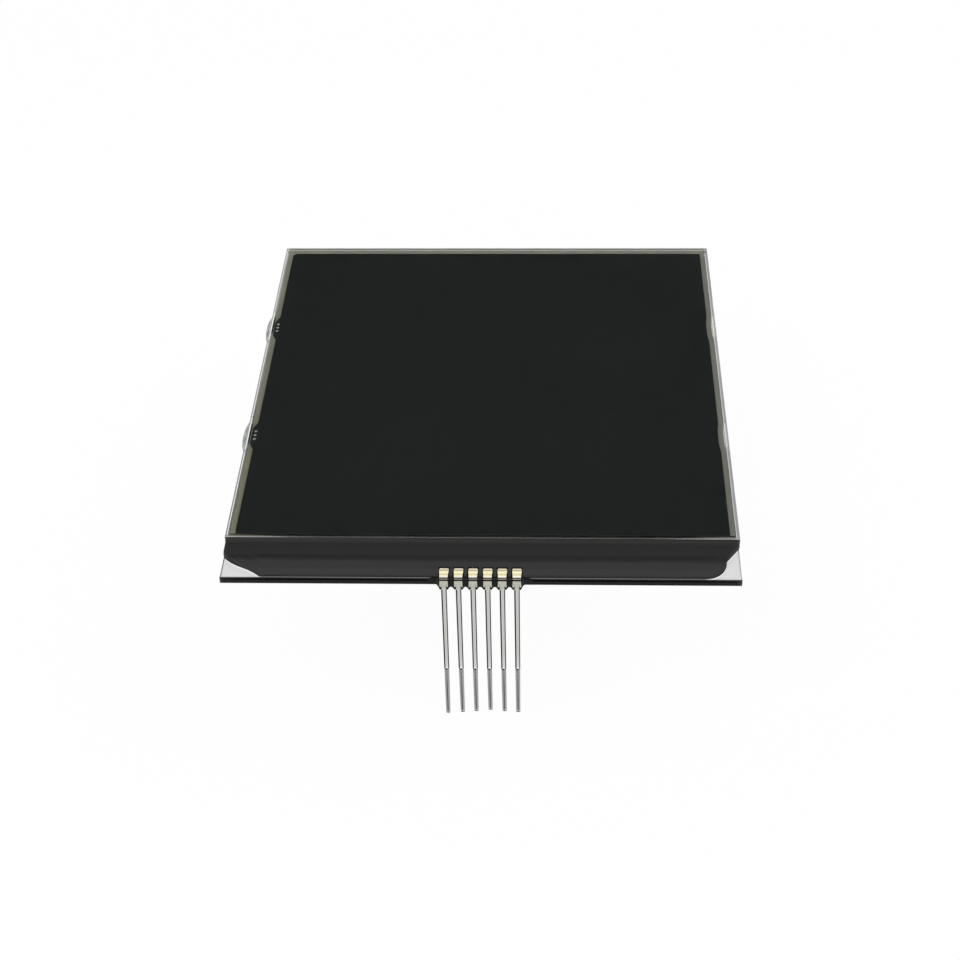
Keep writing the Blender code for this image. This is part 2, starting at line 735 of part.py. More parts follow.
def resin_height(y, front, end_distance):
    """The resin's height over the ledge: it climbs the front glass and thins to its edges."""
    back = FRONT_EDGE_Y - RESIN_CLEARANCE
    die_front = DIE_Y - DIE_WIDTH / 2 - BOND_BORDER
    plateau = RESIN_HEIGHT
    climb = (RESIN_CLIMB - plateau) * (1.0 - min(1.0, (back - y) / RESIN_FILLET)) ** 2
    slope = smooth((die_front - y) / (die_front - FINGER_END_Y))
    height = plateau + climb + (RESIN_APRON - plateau) * slope
    for distance in (y - front, end_distance):
        share = min(1.0, max(0.0, distance / RESIN_ROUND))
        crown = math.sqrt(1.0 - (1.0 - share) ** 2)
        height = min(height, RESIN_EDGE + (height - RESIN_EDGE) * crown)
    return height


def resin_mesh(name):
    """A loft along X through sections whose front follows the resin's edge."""
    side = resin_side()
    back = FRONT_EDGE_Y - RESIN_CLEARANCE
    bottom = LEDGE_TOP + LAMINATION_GAP
    bm = bmesh.new()
    sections = []
    for x in resin_stations():
        front = resin_front(x)
        depth = back - front
        rounding = min(RESIN_ROUND, depth / 3) / depth
        fillet = min(RESIN_FILLET, depth / 3) / depth
        shares = [0.0, fillet * 0.25, fillet * 0.6, fillet]
        flat = 1.0 - rounding - fillet
        shares += [fillet + flat * i / 5 for i in range(1, 6)]
        shares += [1.0 - rounding * part for part in (0.5, 0.15, 0.0)]
        points = [(back, bottom)]
        for share in shares:
            y = back - depth * share
            height = resin_height(y, front, side - abs(x))
            points.append((y, bottom + height))
        points.append((front, bottom))
        sections.append([bm.verts.new((x, y, z)) for y, z in points])
    for left, right in zip(sections, sections[1:]):
        count = len(left)
        for i in range(count):
            j = (i + 1) % count
            bm.faces.new((left[i], left[j], right[j], right[i]))
    bm.faces.new(sections[0])
    bm.faces.new(reversed(sections[-1]))
    return mesh_from_bmesh(name, bm)


def finger_pocket(name, x, cutters):
    """The space that one upper finger takes up in the resin, wider where the finger is."""
    half = FINGER_WIDTH / 2 + CLIP_POCKET
    return add_cutter(
        name,
        (x - half, LEDGE_EDGE_Y - RESIN_ROUND, REAR_GLASS_BOTTOM),
        (x + half, FINGER_END_Y, FRONT_GLASS_TOP),
        cutters,
    )


def build_ledge_resin(parts, cutters, resin, driver_space):
    obj = add_object("ledge_resin", resin_mesh("ledge_resin"), parts, resin)
    add_boolean(obj, driver_space)
    for number, x in enumerate(pin_positions(), start=1):
        add_boolean(obj, finger_pocket(f"finger_pocket_{number}", x, cutters))


def bead_depths(x):
    """The bead's low edge at x, how far it stands proud and how much its lower front is raised.

    It is scalloped between the clips and thins to a film at its ends.
    """
    pins = pin_positions()
    high = REAR_GLASS_BOTTOM - BEAD_DROP
    low = REAR_GLASS_BOTTOM - BEAD_SKIRT
    nearest = min(abs(x - pin) for pin in pins)
    beside = max(0.0, nearest - CLIP_WIDTH / 2)
    between = PIN_PITCH - CLIP_WIDTH
    scallop = math.sin(math.pi * min(0.5, beside / between))
    level = low + (high - low) * scallop
    outside = max(pins[0] - x, x - pins[-1]) - CLIP_WIDTH / 2
    full = 1.0 - smooth(outside / BEAD_SHOULDER)
    film_low = REAR_GLASS_BOTTOM + BEAD_FILM / 4
    proud = BEAD_FILM + (BEAD_PROUD - BEAD_FILM) * full
    rake = BEAD_RAKE * (1.0 - scallop) * full
    return film_low + (level - film_low) * full, proud, rake


def bead_stations():
    """X coordinates of the bead's sections: evenly spaced between clips and towards its ends."""
    pins = pin_positions()
    half = CLIP_WIDTH / 2
    left = pins[0] - BEAD_OVERHANG
    right = pins[-1] + BEAD_OVERHANG
    shoulder = [BEAD_SHOULDER * i / 5 for i in range(1, 6)]
    stations = [left] + [pins[0] - half - step for step in reversed(shoulder)]
    for first, second in zip(pins, pins[1:]):
        start, end = first + half, second - half
        stations.append(first - half)
        stations += [start + (end - start) * i / 6 for i in range(6)]
    stations.append(pins[-1] - half)
    stations += [pins[-1] + half]
    stations += [pins[-1] + half + step for step in shoulder] + [right]
    return stations


def bead_mesh(name):
    """A loft along X through rounded sections, which the glass and the clips are cut out of."""
    back = LEDGE_EDGE_Y + BEAD_TUCK
    top = LEDGE_TOP + BEAD_RISE
    facets = 16
    bm = bmesh.new()
    rings = []
    for x in bead_stations():
        low, proud, rake = bead_depths(x)
        front = LEDGE_EDGE_Y - proud
        middle_y, half_y = (back + front) / 2, (back - front) / 2
        middle_z, half_z = (top + low) / 2, (top - low) / 2
        ring = []
        for i in range(facets):
            angle = math.tau * (i + 0.5) / facets
            cos, sin = math.cos(angle), math.sin(angle)
            y = middle_y + half_y * math.copysign(abs(cos) ** BEAD_SQUARENESS, cos)
            z = middle_z + half_z * math.copysign(abs(sin) ** BEAD_SQUARENESS, sin)
            forward = max(0.0, (middle_y - y) / half_y)
            z += rake * forward * max(0.0, (middle_z - z) / half_z)
            ring.append(bm.verts.new((x, y, z)))
        rings.append(ring)
    for left, right in zip(rings, rings[1:]):
        for i in range(facets):
            j = (i + 1) % facets
            bm.faces.new((left[i], left[j], right[j], right[i]))
    bm.faces.new(rings[0])
    bm.faces.new(reversed(rings[-1]))
    return mesh_from_bmesh(name, bm)


def build_bead(parts, cutters, resin):
    """The bead lies on the glass's front edge and tucks under it behind the leads."""
    c = BEAD_CLEARANCE
    front = LEDGE_EDGE_Y - BEAD_PROUD
    back = LEDGE_EDGE_Y + BEAD_TUCK
    bead = add_object("pin_bead", bead_mesh("pin_bead"), parts, resin)
    far = LEDGE_EDGE_Y + LEDGE_LENGTH
    glass_space = add_cutter(
        "ledge_space",
        (-LEDGE_SIDE_X, LEDGE_EDGE_Y - LAMINATION_GAP, REAR_GLASS_BOTTOM - LAMINATION_GAP),
        (LEDGE_SIDE_X, far, FRONT_GLASS_TOP),
        cutters,
    )
    add_boolean(bead, glass_space)
    lower_bend = BEND_RADIUS + SHEET + CONTACT_CLEARANCE + LOWER_REACH * math.tan(LOWER_SLOPE)
    lead_back = LEDGE_EDGE_Y - GLASS_CLEARANCE + c
    for number, x in enumerate(pin_positions(), start=1):
        half = CLIP_WIDTH / 2 + c
        clip_space = add_cutter(
            f"clip_space_{number}",
            (x - half, front - SHEET, REAR_GLASS_BOTTOM - lower_bend - c),
            (x + half, back + SHEET, FRONT_GLASS_TOP),
            cutters,
        )
        half = LEAD_WIDTH / 2 + c
        lead_space = add_cutter(
            f"lead_space_{number}",
            (x - half, front - SHEET, REAR_GLASS_BOTTOM - LEAD_LENGTH),
            (x + half, lead_back, FRONT_GLASS_TOP),
            cutters,
        )
        add_boolean(bead, clip_space)
        add_boolean(bead, lead_space)


def shade(parts):
    for obj in parts.objects:
        obj.data.shade_smooth()
        obj.data.set_sharp_from_angle(angle=math.radians(35))


def main():
    clear_scene()
    parts = make_collection("instrument_cluster_display")
    cutters = make_collection("cutters")
    glass = make_material("glass", (0.90, 0.94, 0.92), 0.02, transmission=1.0)
    film = make_material("polariser_film", (0.055, 0.060, 0.055), 0.08, transmission=0.6)
    crystal = make_material("dark_crystal", (0.012, 0.014, 0.013), 0.30)
    seal = make_material("cell_seal", (0.36, 0.37, 0.30), 0.55)
    clear_resin = make_material("clear_resin", (0.62, 0.63, 0.60), 0.25, transmission=0.4)
    black_resin = make_material("black_resin", (0.020, 0.020, 0.020), 0.22)
    silicon = make_material("silicon", (0.10, 0.10, 0.12), 0.20, metallic=0.3)
    bond = make_material("bond_adhesive", (0.40, 0.36, 0.26), 0.50)
    tin = make_material("tin_plate", (0.72, 0.72, 0.69), 0.28, metallic=1.0)
    build_glass(parts, glass)
    build_polarisers(parts, film)
    build_crystal(parts, crystal)
    build_pillars(parts, seal)
    build_seal(parts, cutters, seal)
    build_plugs(parts, cutters, clear_resin)
    driver_space = build_driver(parts, cutters, silicon, bond)
    build_pins(parts, cutters, tin)
    build_ledge_resin(parts, cutters, black_resin, driver_space)
    build_bead(parts, cutters, black_resin)
    shade(parts)


main()
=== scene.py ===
"""Looks for the liquid crystal display panel: materials, soft studio light and the camera.

Units are metres in the part's own frame: +Z is the viewing side, +X is right, the pins are at -Y.
"""

import math

import bpy
from mathutils import Matrix, Vector


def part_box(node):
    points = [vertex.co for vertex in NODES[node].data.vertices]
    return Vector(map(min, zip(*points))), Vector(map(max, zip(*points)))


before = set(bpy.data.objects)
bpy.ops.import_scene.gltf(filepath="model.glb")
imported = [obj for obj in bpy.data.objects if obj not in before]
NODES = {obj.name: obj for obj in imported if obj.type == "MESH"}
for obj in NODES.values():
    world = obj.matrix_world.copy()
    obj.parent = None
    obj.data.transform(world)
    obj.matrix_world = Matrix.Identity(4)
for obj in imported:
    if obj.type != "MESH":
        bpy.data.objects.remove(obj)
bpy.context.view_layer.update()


def rgb(*values):
    """A colour with full opacity."""
    return (*values, 1.0)


def grey(share):
    return rgb(share, share, share)


def greys(stops):
    """Stops of a gradient as neutral colours."""
    return [(at, grey(share)) for at, share in stops]


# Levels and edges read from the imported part
REAR_LOW, REAR_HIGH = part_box("rear_glass")
FRONT_LOW, FRONT_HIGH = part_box("front_glass")
PINS_LOW = min(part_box(f"clip_pin_{i}")[0].z for i in range(1, 7))
CLIPS_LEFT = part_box("clip_pin_1")[0].x
CLIPS_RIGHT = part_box("clip_pin_6")[1].x

# Below, a span is a pair: where something begins and where it ends. A blur is how far a mask's
# edge fades to either side.

# Bare glass round the film: its width, and the depths from the edge over which it clears up
FILM_MARGIN = 0.00062
FILM_NEAR_MARGIN = 0.00042
RIM_WIDTH = 0.00064
CLOUDED_RIM = (0.0003, 0.0009)
FINE_BLUR = 0.00002

# Painted light and shade on the bare rim's upper face: what it lets through from the edge inwards,
# in greyer bands and a bright line. The left rim turns from the near tones to the far ones along Y.
LEFT_NEAR_RIM = (
    (0.00010, 0.56), (0.00014, 0.56), (0.00018, 1.00), (0.00035, 1.00), (0.00040, 0.54),
    (0.00062, 0.52),
)
LEFT_FAR_RIM = (
    (0.00010, 0.97), (0.00022, 0.95), (0.00028, 0.84), (0.00038, 0.82), (0.00044, 0.74),
    (0.00062, 0.66),
)
RIGHT_RIM = (
    (0.00010, 0.53), (0.00028, 0.48), (0.00033, 0.74), (0.00047, 0.74), (0.00053, 0.52),
    (0.00062, 0.48),
)
LEFT_RIM_TURNS = (-0.030, 0.040)
RIM_WAVER = 0.00010
NEAR_RIM_TONE = 0.62

# Ground edges: the lower far one, and where along X and how deep painted shade dulls the
# front sheet's near one
FAR_EDGE = (0.0002, 0.0003)
NEAR_EDGE_SHADE = (0.022, 0.034)
NEAR_EDGE_DEPTH = 0.0005

# The strip of sealant on the rear sheet at the cell's far edge
CLOUDY_STRIP = 0.00046

# The fill ports' place on the left edge, how far along it each feature reaches, and the depths
# from the edge between which it lies
PORTS_Y = (0.015, -0.015)
PORT_REACH = 0.0031
PLUG_REACH = 0.0042
MOUTH_REACH = 0.0023
PORT_BLUR = 0.0003
MOUTH_BLUR = 0.0004
# The bright lines by the ports are painted highlights
PLUG_LINE = (0.00021, 0.00038)
DENT_HIGHLIGHT = (0.00027, 0.00049)
LINE_BLUR = 0.00003
# The mouths' depths, where painted shade lies
RIM_MOUTH = (0.00042, RIM_WIDTH + 0.0001)
FRONT_MOUTH = (0.00043, 0.00066)
REAR_MOUTH = (0.00035, 0.00100)

# The ledge's upper face: how much light it loses, but for a painted highlight, a bright rim in
# front of the resin
LEDGE_LOSS = 0.25
RIM_HIGHLIGHT = 0.00024

# The ledge resin's outline: how far it keeps from the ledge's front edge and laps under the front
# sheet. Its left corner is cut by a falling curve with a lobe on it, its right one by a slope from
# the side to a step, and a quarter round from there.
RESIN_INSET = 0.00020
RESIN_LAP = 0.0002
LEFT_CUT_WIDTH = 0.00545
LEFT_CUT_DEPTH = 0.0044
LEFT_CUT_CURVE = 0.70
LEFT_CUT_LOBE = 0.00036
STEP_AT = 0.00187
STEP_DEPTH = 0.00366
RIGHT_CUT_DEPTH = 0.00652
RIGHT_CUT_WIDTH = 0.00477

# The dark rim in front of the resin, along the resin's straight front and wider than the clips
DARK_RIM = 0.00021
DARK_RIM_LEFT = 0.0056
DARK_RIM_RIGHT = 0.0048
DARK_RIM_BLUR = 0.0004
PAST_CLIPS = 0.0016
PAST_CLIPS_BLUR = 0.0008

# The ledge's front edge, painted dark as a reflection of the resin: its depth, where towards each
# end it fades, and the levels between which its dark top begins
LEDGE_FRONT_DEPTH = 0.0003
LEDGE_FRONT_FADES = (0.029, 0.035)
LEDGE_DARK_TOP = (REAR_HIGH.z - 0.00055, REAR_HIGH.z - 0.00040)

# The film's cut edge: the levels where its dark foot, a painted shade, ends, and where along Y its
# sides turn paler
FILM_FOOT_SHADE = (FRONT_HIGH.z + 0.00009, FRONT_HIGH.z + 0.00013)
FILM_SIDES_TURN = (-0.020, 0.020)

# The darkest and lightest tone of the dark layer, and of the seal along its sides and its far length
# The dark layer's tones are raised by a painted sheen for the film's faint gloss
CRYSTAL_AND_SHEEN = (rgb(0.0268, 0.0294, 0.0339), rgb(0.0276, 0.0302, 0.0347))
# The seal's tones differ by side as painted light and shade
SEAL_LEFT = (rgb(0.239, 0.222, 0.205), rgb(0.291, 0.270, 0.253))
SEAL_NEAR_LEFT = (rgb(0.226, 0.209, 0.174), rgb(0.275, 0.255, 0.214))
SEAL_RIGHT = (rgb(0.225, 0.214, 0.215), rgb(0.274, 0.260, 0.266))
SEAL_FAR = (rgb(0.282, 0.264, 0.250), rgb(0.344, 0.322, 0.308))

# Where the seal's tones turn: the left side's along Y, left to right along X, the far length's
# along Y, and the shade at the ledge along Y, which fades towards both ends
SEAL_LEFT_TURNS = (-0.030, 0.005)
SEAL_TURNS = (-0.030, 0.030)
SEAL_FAR_TURNS = (0.0370, 0.0385)
SEAL_SHADE = (FRONT_LOW.y + 0.0012, FRONT_LOW.y + 0.0015)
SEAL_SHADE_FADES = (0.028, 0.0345)

# The dark layer's edges, and how far from the middle its corners begin
CELL_HALF_WIDTH = 0.03458
CELL_NEAR = FRONT_LOW.y + 0.00127
CELL_FAR = FRONT_HIGH.y - 0.00124
CORNERS_FROM = 0.0375

# Painted sheen on the ledge resin along Y: where its apron ends, waving a little, and its back fillet
APRON_END = (-0.0448, -0.0438)
APRON_WAVE = 0.0010
FILLET = (FRONT_LOW.y - 0.0011, FRONT_LOW.y - 0.0002)

# Clip pins: the finger's tones along Y from its bend to its tip, golden under painted highlights and
# painted shade, the levels between which they begin, and those between which the lead turns into
# the plate
FINGER_GOLD_AND_LIGHT = (
    (-0.04762, rgb(0.60, 0.56, 0.50)),
    (-0.04753, rgb(0.80, 0.75, 0.68)),
    (-0.04744, rgb(0.98, 0.94, 0.82)),
    (-0.04725, rgb(0.94, 0.89, 0.64)),
    (-0.04708, rgb(0.70, 0.66, 0.42)),
    (-0.04690, rgb(0.70, 0.66, 0.40)),
    (-0.04670, rgb(0.86, 0.82, 0.50)),
    (-0.04650, rgb(0.98, 0.94, 0.62)),
    (-0.04622, rgb(0.96, 0.92, 0.58)),
    (-0.04610, rgb(0.42, 0.39, 0.25)),
    (-0.04596, rgb(0.36, 0.33, 0.21)),
    (-0.04586, rgb(0.66, 0.58, 0.48)),
    (-0.04550, rgb(0.90, 0.80, 0.70)),
)
FINGER_FROM = (REAR_HIGH.z + 0.00012, REAR_HIGH.z + 0.00018)
PLATE_TO_LEAD = (REAR_LOW.z - 0.0006, REAR_LOW.z - 0.0002)

# The bend round the glass's edge: the levels of its painted shade, and how far out of the glass it
# lies
BEND_SHADE = (REAR_HIGH.z - 0.00026, REAR_HIGH.z + 0.00004)
BEND_OUT = 0.0001

# Leads: the levels where they start, half their width at the tail and at the glass, the depth of
# the painted shade along each side, more on the left, and how dark it is at the left and right
LEADS_FROM = (REAR_LOW.z - 0.0007, REAR_LOW.z - 0.0005)
LEAD_HALF_WIDTHS = (0.000355, 0.000385)
DARK_SIDE_SHADE = (0.00011, 0.00015)
LEFT_SIDE_MORE = 0.00007
LEAD_SIDE_SHADES = (
    (0.012, 0.080), (0.020, 0.040), (0.060, 0.030), (0.020, 0.050), (0.012, 0.030), (0.008, 0.070),
)

# Solder tails: where they begin, how far above it the lead brightens, and sideways from the middle
# the spans of the dark seam and the lighter edges
TAIL_TOP = -0.01489
TAIL_BLUR = 0.00005
BRIGHTENS = 0.0035
SEAM = (0.00004, 0.00012)
TAIL_EDGES = (0.00014, 0.00024)

# The pressed mark at the tail's top, painted dark as shade, and the painted glint above it, then
# the cut end: how far above the lowest point its corners may lie, its burr and its pale band
MARK_EDGE = (0.00012, 0.00018)
GLINT = (0.00018, 0.00042)
GLINT_BLUR = 0.00006
GLINT_SIDES = (0.00008, 0.00016)
CUT_END = 0.00005
BURR_EDGE = (0.00014, 0.00019)
PALE_BAND = (0.00020, 0.00042)
PALE_BAND_BLUR = 0.00004

# Camera: where the photograph was taken from
CAMERA_AT = Vector((0.01018, -0.26031, 0.17588))
CAMERA_ELEVATION = math.radians(36.5321)
CAMERA_YAW = math.radians(-2.6408)
CAMERA_ROLL = math.radians(1.3369)
CAMERA_LENS = 75.712
SENSOR = 36.0

# Studio: the floor's half side and its gap to the leads, the world's light on the object, the dark
# patch that reflections show, and the lamps' places, sides and powers
FLOOR_HALF = 1.5
FLOOR_GAP = 0.0002
WORLD_LIGHT = 0.62
DARK_PATCH = Vector((0.03, -0.80, 0.56)).normalized()
LAMPS = (
    ("key", Vector((-0.35, -0.30, 0.60)), 0.35, 2.2),
    ("fill", Vector((0.45, 0.15, 0.50)), 0.40, 1.2),
)


def make_camera():
    """The photograph's view: its place, its angles and its lens."""
    yaw, elevation, roll = CAMERA_YAW, CAMERA_ELEVATION, CAMERA_ROLL
    forward = Vector((
        math.sin(yaw) * math.cos(elevation),
        math.cos(yaw) * math.cos(elevation),
        -math.sin(elevation),
    ))
    right = Vector((math.cos(yaw), -math.sin(yaw), 0.0))
    down = forward.cross(right)
    turned_right = math.cos(roll) * right + math.sin(roll) * down
    turned_down = -math.sin(roll) * right + math.cos(roll) * down
    data = bpy.data.cameras.new("camera")
    data.lens = CAMERA_LENS
    data.sensor_width = SENSOR
    data.clip_start = 0.01
    data.clip_end = 20.0
    camera = bpy.data.objects.new("camera", data)
    bpy.context.scene.collection.objects.link(camera)
    rotation = Matrix((turned_right, -turned_down, -forward)).transposed()
    camera.matrix_world = Matrix.Translation(CAMERA_AT) @ rotation.to_4x4()
    bpy.context.scene.camera = camera


class Nodes:
    """A short way to write a node tree. Each method adds nodes and gives back their result."""

    def __init__(self, tree):
        self.tree = tree
        tree.nodes.clear()

    def add(self, kind, values=None, **settings):
        """A node of that kind, with values for its inputs and settings for its fields."""
        node = self.tree.nodes.new(kind)
        for key, value in settings.items():
            setattr(node, key, value)
        for key, value in (values or {}).items():
            self.put(node.inputs[key], value)
        return node

    def put(self, socket, value):
        """Feeds an input from a socket or a node's first output, or sets a plain value."""
        if isinstance(value, bpy.types.NodeSocket):
            self.tree.links.new(value, socket)
        elif isinstance(value, bpy.types.Node):
            self.tree.links.new(value.outputs[0], socket)
        else:
            socket.default_value = value

    def math(self, operation, a, b=0.0, c=0.0, clamp=False):
        values = {0: a, 1: b, 2: c}
        return self.add("ShaderNodeMath", values, operation=operation, use_clamp=clamp).outputs[0]

    def fold(self, operation, value, *others):
        """The operation over all values, from the left."""
        for other in others:
            value = self.math(operation, value, other)
        return value

    def plus(self, *values):
        return self.fold("ADD", *values)

    def minus(self, *values):
        return self.fold("SUBTRACT", *values)

    def times(self, *values):
        return self.fold("MULTIPLY", *values)

    def least(self, *values):
        return self.fold("MINIMUM", *values)

    def most(self, *values):
        return self.fold("MAXIMUM", *values)

    def multiply_add(self, value, factor, addend):
        return self.math("MULTIPLY_ADD", value, factor, addend)

    def absolute(self, value):
        return self.math("ABSOLUTE", value)

    def above(self, value, limit):
        """1 where the value is above the limit, 0 elsewhere."""
        return self.math("GREATER_THAN", value, limit)

    def below(self, value, limit):
        """1 where the value is below the limit, 0 elsewhere."""
        return self.math("LESS_THAN", value, limit)

    def inverse(self, share):
        """1 less the share."""
        return self.math("SUBTRACT", 1.0, share)

    def ramp(self, value, low, high, to_low=0.0, to_high=1.0, smooth=True):
        """Maps low..high to to_low..to_high, clamped."""
        kind = "SMOOTHSTEP" if smooth else "LINEAR"
        values = {"Value": value, 1: low, 2: high, 3: to_low, 4: to_high}
        return self.add("ShaderNodeMapRange", values, interpolation_type=kind).outputs[0]

    def between(self, value, low, high, blur):
        """1 between low and high, softened over blur at both ends."""
        rise = self.ramp(value, low - blur, low + blur)
        fall = self.ramp(value, high - blur, high + blur, 1.0, 0.0)
        return self.times(rise, fall)

    def colour(self, share, a, b):
        """Colour a, turning into b by share."""
        return self.add("ShaderNodeMix", {0: share, 6: a, 7: b}, data_type="RGBA").outputs[2]

    def gradient(self, value, stops):
        """Colours along a value: stops are (value, colour) pairs in rising order."""
        low, high = stops[0][0], stops[-1][0]
        share = self.ramp(value, low, high, smooth=False)
        node = self.add("ShaderNodeValToRGB", {0: share})
        elements = node.color_ramp.elements
        while len(elements) < len(stops):
            elements.new(0.5)
        for element, (at, colour) in zip(elements, stops):
            element.position = (at - low) / (high - low)
            element.color = colour
        return node.outputs[0]

    def noise(self, vector, scale, detail):
        values = {"Vector": vector, "Scale": scale, "Detail": detail, "Roughness": 0.55}
        return self.add("ShaderNodeTexNoise", values).outputs[0]

    def stretch(self, vector, scale):
        """Scales a position, so that a pattern runs long where the scale is small."""
        return self.add("ShaderNodeMapping", {"Vector": vector, "Scale": scale}).outputs[0]

    def bump(self, height, strength, distance):
        values = {"Height": height, "Strength": strength, "Distance": distance}
        return self.add("ShaderNodeBump", values).outputs[0]

    def place(self):
        """Object position and its three coordinates."""
        where = self.add("ShaderNodeTexCoord").outputs["Object"]
        return where, self.add("ShaderNodeSeparateXYZ", {0: where}).outputs

    def normal(self):
        """The three parts of the surface's direction."""
        facing = self.add("ShaderNodeTexCoord").outputs["Normal"]
        return self.add("ShaderNodeSeparateXYZ", {0: facing}).outputs

    def matt(self, colour):
        return self.add("ShaderNodeBsdfDiffuse", {"Color": colour}).outputs[0]

    def see_through(self, colour):
        return self.add("ShaderNodeBsdfTransparent", {"Color": colour}).outputs[0]

    def over(self, share, under, upper):
        """The upper shader over the one under it, by share."""
        return self.add("ShaderNodeMixShader", {0: share, 1: under, 2: upper}).outputs[0]

    def finish(self, surface):
        self.add("ShaderNodeOutputMaterial", {"Surface": surface})


def new_material(name):
    material = bpy.data.materials.new(name)
    material.use_nodes = True
    return material, Nodes(material.node_tree)


class SheetPoint:
    """Where a point of a glass sheet lies, from the front sheet's edges too, and how it faces.

    upright is 1 on flat faces and 0 on vertical ones, and top is 1 on the upper face only.
    """

    def __init__(self, n, low, high):
        self.where, (self.x, self.y, self.z) = n.place()
        _, self.ny, nz = n.normal()
        self.upright = n.absolute(nz)
        self.from_side = n.minus(FRONT_HIGH.x, n.absolute(self.x))
        self.from_far = n.minus(FRONT_HIGH.y, self.y)
        self.from_near = n.minus(self.y, FRONT_LOW.y)
        self.frost = n.noise(self.where, 14000.0, 2.0)
        middle = (low.z + high.z) / 2
        self.upper = n.above(self.z, middle)
        self.lower = n.below(self.z, middle)
        self.top = n.times(n.above(nz, 0.9), self.upper)


def front_glass_material():
    """The sheet on the viewing side, bare round its film and hazy along the bare far strip."""
    material, n = new_material("sheet_glass")
    at = SheetPoint(n, FRONT_LOW, FRONT_HIGH)
    surface = polished_glass(n, at, n.least(edge_tint(n, at), upper_rim(n, at)))
    # A painted highlight across the rim above each port's plug
    surface = n.over(port_highlight(n, at), surface, n.matt(grey(0.95)))
    # Painted shade in the ports' mouths
    mouth = n.times(port_mouth_shade(n, at, FRONT_MOUTH), at.top, 0.9)
    surface = n.over(mouth, surface, n.matt(grey(0.010)))
    haze = n.times(at.top, n.below(at.from_far, RIM_WIDTH), n.ramp(at.frost, 0.3, 0.7, 0.34, 0.46))
    surface = n.over(haze, surface, n.matt(rgb(0.70, 0.70, 0.71)))
    # Painted shade: the near edge catches less light over the ledge's middle
    near = n.ramp(n.absolute(at.x), *NEAR_EDGE_SHADE, 0.28, 1.0)
    near = n.most(near, n.above(at.from_near, NEAR_EDGE_DEPTH))
    surface = ground_edges(n, at, surface, near, rgb(0.78, 0.80, 0.79))
    n.finish(lit_through(n, surface))
    return material


def rear_glass_material():
    """The longer sheet: black where resin wets its ledge, cloudy with sealant at the far edge."""
    material, n = new_material("sheet_glass_inked")
    at = SheetPoint(n, REAR_LOW, REAR_HIGH)
    surface = polished_glass(n, at, n.least(edge_tint(n, at), ledge_tint(n, at)))
    # Black ink for the wet resin and its rim, also used as painted shade in the ports' mouths
    ink_and_shade = n.matt(grey(0.012))
    wet = resin_mask(n, at.x, at.y)
    surface = n.over(n.times(n.most(wet, ledge_rim(n, at)), at.top), surface, ink_and_shade)
    strip = n.times(at.top, n.above(at.y, FRONT_HIGH.y - CLOUDY_STRIP))
    cloudy = n.colour(at.frost, rgb(0.22, 0.215, 0.21), rgb(0.30, 0.29, 0.28))
    surface = n.over(strip, surface, n.matt(cloudy))
    # Painted shade in the ports' mouths
    surface = n.over(n.times(port_mouth_shade(n, at, REAR_MOUTH), at.top), surface, ink_and_shade)
    tone = n.colour(wet, rgb(0.85, 0.86, 0.86), grey(0.16))
    surface = ground_edges(n, at, surface, 1.0, tone)
    surface = n.over(ledge_front(n, at), surface, ledge_shade(n, at))
    n.finish(lit_through(n, surface))
    return material


def polished_glass(n, at, tint):
    """Clear glass. Faces that films, the cell or resin cover have no reflection of their own."""
    cloud = n.noise(at.where, 500.0, 2.0)
    tint = n.times(tint, n.ramp(cloud, 0.3, 0.7, 0.985, 1.0))
    clear = n.colour(tint, rgb(0.0, 0.0, 0.004), grey(1.0))
    edge = n.ramp(at.upright, 0.15, 0.30, 1.0, 0.0)
    values = {
        "Color": n.colour(edge, clear, rgb(0.62, 0.66, 0.63)),
        "Roughness": n.times(edge, 0.06),
        "IOR": 1.5,
    }
    bare = n.add("ShaderNodeBsdfGlass", values)
    bonded = n.add("ShaderNodeBsdfRefraction", values)
    inside = n.least(
        n.minus(at.from_side, FILM_MARGIN),
        n.minus(at.from_far, FILM_MARGIN),
        n.minus(at.from_near, FILM_NEAR_MARGIN),
    )
    covered = n.times(n.above(inside, 0.0), n.ramp(at.upright, 0.5, 0.7))
    return n.over(covered, bare, bonded)


def edge_tint(n, at):
    """What glass lets through: a little less near the ground edges, where light scatters."""
    return n.ramp(n.least(at.from_side, at.from_far), *CLOUDED_RIM, 0.975, 0.985)


def upper_rim(n, at):
    """What the bare rim's upper face lets through, in painted bands of light and shade, 1 elsewhere.
    """
    along = n.noise(n.stretch(at.where, (1.0, 0.15, 1.0)), 900.0, 2.0)
    depth = n.plus(at.from_side, n.multiply_add(along, RIM_WAVER, -RIM_WAVER / 2))
    near_left = n.gradient(depth, greys(LEFT_NEAR_RIM))
    far_left = n.gradient(depth, greys(LEFT_FAR_RIM))
    left = n.colour(n.ramp(at.y, *LEFT_RIM_TURNS), near_left, far_left)
    # Painted shade at the ports' mouths
    mouth = n.times(n.between(depth, *RIM_MOUTH, FINE_BLUR), by_ports(n, at, MOUTH_REACH, MOUTH_BLUR))
    left = n.colour(mouth, left, grey(0.10))
    right = n.gradient(depth, greys(RIGHT_RIM))
    # A painted highlight: a bright line on the right rim by the ports
    line = n.times(n.between(depth, *DENT_HIGHLIGHT, LINE_BLUR), by_ports(n, at, PORT_REACH, PORT_BLUR))
    right = n.colour(line, right, grey(1.0))
    side = n.colour(n.above(at.x, 0.0), left, right)
    side = n.colour(n.above(at.from_side, RIM_WIDTH), side, grey(1.0))
    # Painted shade on the rim's near strip
    near_width = (FILM_NEAR_MARGIN - FINE_BLUR, FILM_NEAR_MARGIN + FINE_BLUR)
    near = n.ramp(at.from_near, *near_width, NEAR_RIM_TONE, 1.0)
    return n.multiply_add(at.top, n.minus(n.least(side, near), 1.0), 1.0)


